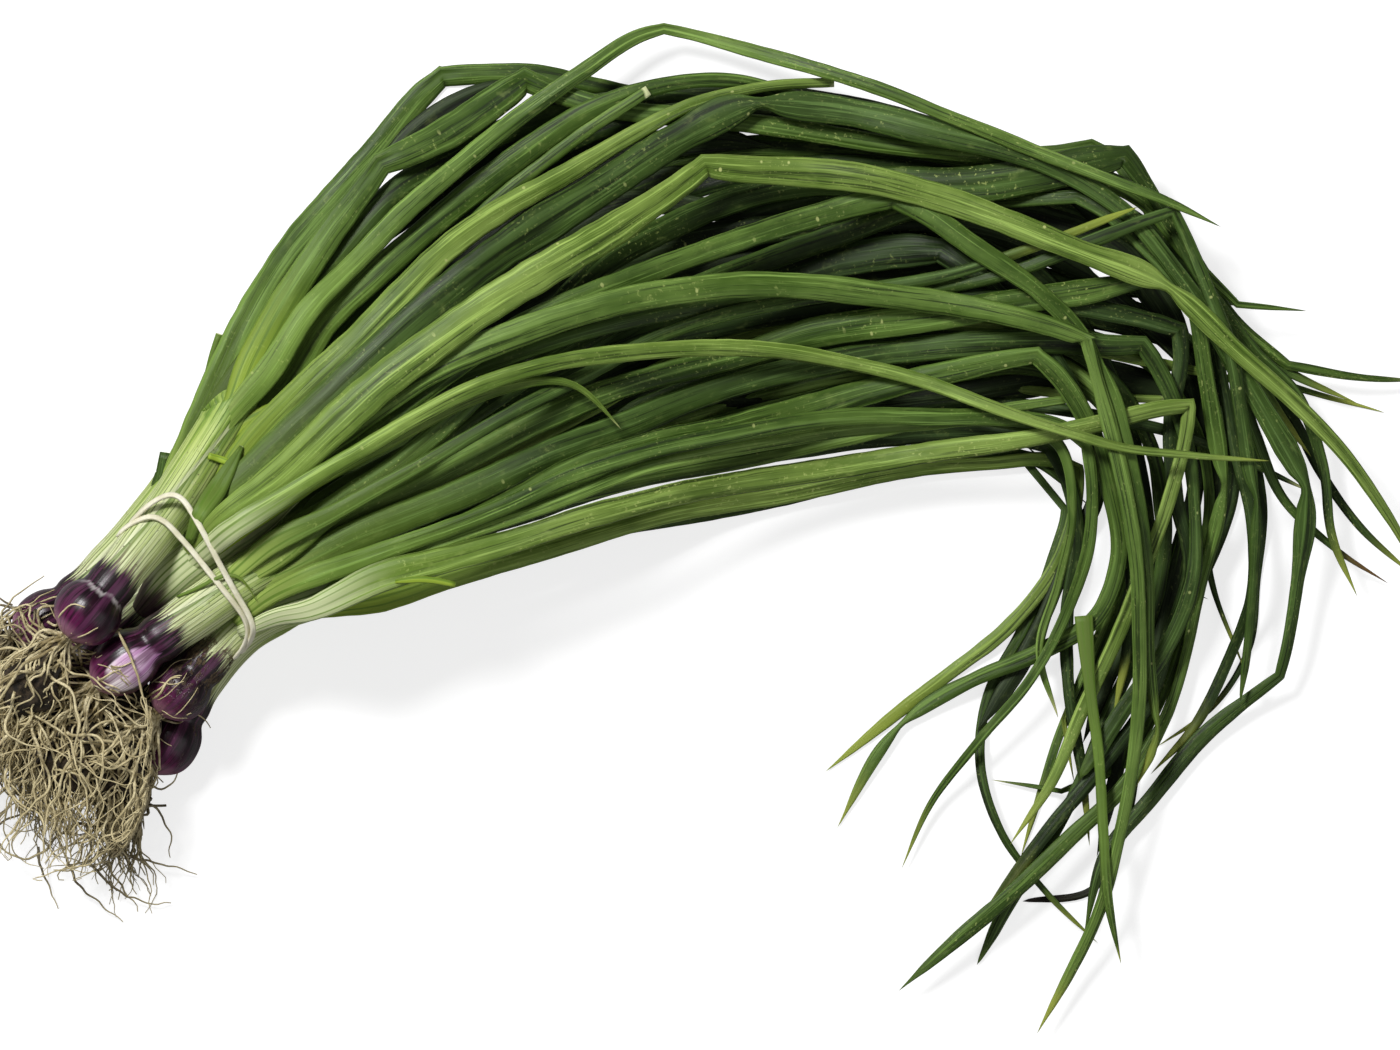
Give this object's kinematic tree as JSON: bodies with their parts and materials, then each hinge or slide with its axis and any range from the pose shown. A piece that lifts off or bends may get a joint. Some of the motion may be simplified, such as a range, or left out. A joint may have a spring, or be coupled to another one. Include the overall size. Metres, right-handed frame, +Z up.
{
  "type": "spring onion bunch",
  "caption": "Bunch of spring onions with round purple bulbs, tangled roots and long green leaves that bend over at the tips, held by a doubled rubber band and lying flat.",
  "frame": {"origin": "middle of the underside of the whole bunch, on the surface it lies on", "axes": "+Z up from the surface, +X from the roots and bulbs towards the leaf tips, +Y towards the side where the leaves arch over before they hang back"},
  "size_m": [0.5108, 0.354, 0.0604],
  "materials": {
    "onion": "glossy deep purple bulb skin passing into a satin white and green stem",
    "leaf": "waxy satin, finely streaked along the leaf",
    "roots": "dull, dry and fibrous",
    "band": "matte cream rubber"
  },
  "bodies": {
    "root": {"onion_1": "onion", "onion_2": "onion", "onion_3": "onion", "onion_4": "onion", "onion_5": "onion", "onion_6": "onion", "roots_1": "roots", "roots_2": "roots", "roots_3": "roots", "roots_4": "roots", "roots_5": "roots", "roots_6": "roots", "leaf_1a": "leaf", "leaf_1b": "leaf", "leaf_1c": "leaf", "leaf_1d": "leaf", "leaf_1e": "leaf", "leaf_1f": "leaf", "leaf_2a": "leaf", "leaf_2b": "leaf", "leaf_2c": "leaf", "leaf_2d": "leaf", "leaf_2e": "leaf", "leaf_2f": "leaf", "leaf_2g": "leaf", "leaf_2h": "leaf", "leaf_3a": "leaf", "leaf_3b": "leaf", "leaf_3c": "leaf", "leaf_3d": "leaf", "leaf_3e": "leaf", "leaf_3f": "leaf", "leaf_3g": "leaf", "leaf_3h": "leaf", "leaf_4a": "leaf", "leaf_4b": "leaf", "leaf_4c": "leaf", "leaf_4d": "leaf", "leaf_4e": "leaf", "leaf_4f": "leaf", "leaf_4g": "leaf", "leaf_5a": "leaf", "leaf_5b": "leaf", "leaf_5c": "leaf", "leaf_5d": "leaf", "leaf_5e": "leaf", "leaf_5f": "leaf", "leaf_5g": "leaf", "leaf_6a": "leaf", "leaf_6b": "leaf", "leaf_6c": "leaf", "leaf_6d": "leaf", "leaf_6e": "leaf", "leaf_6f": "leaf", "leaf_6g": "leaf", "leaf_4h": "leaf", "leaf_5h": "leaf", "leaf_6h": "leaf", "leaf_loose": "leaf", "band": "band"}
  },
  "joints": []
}
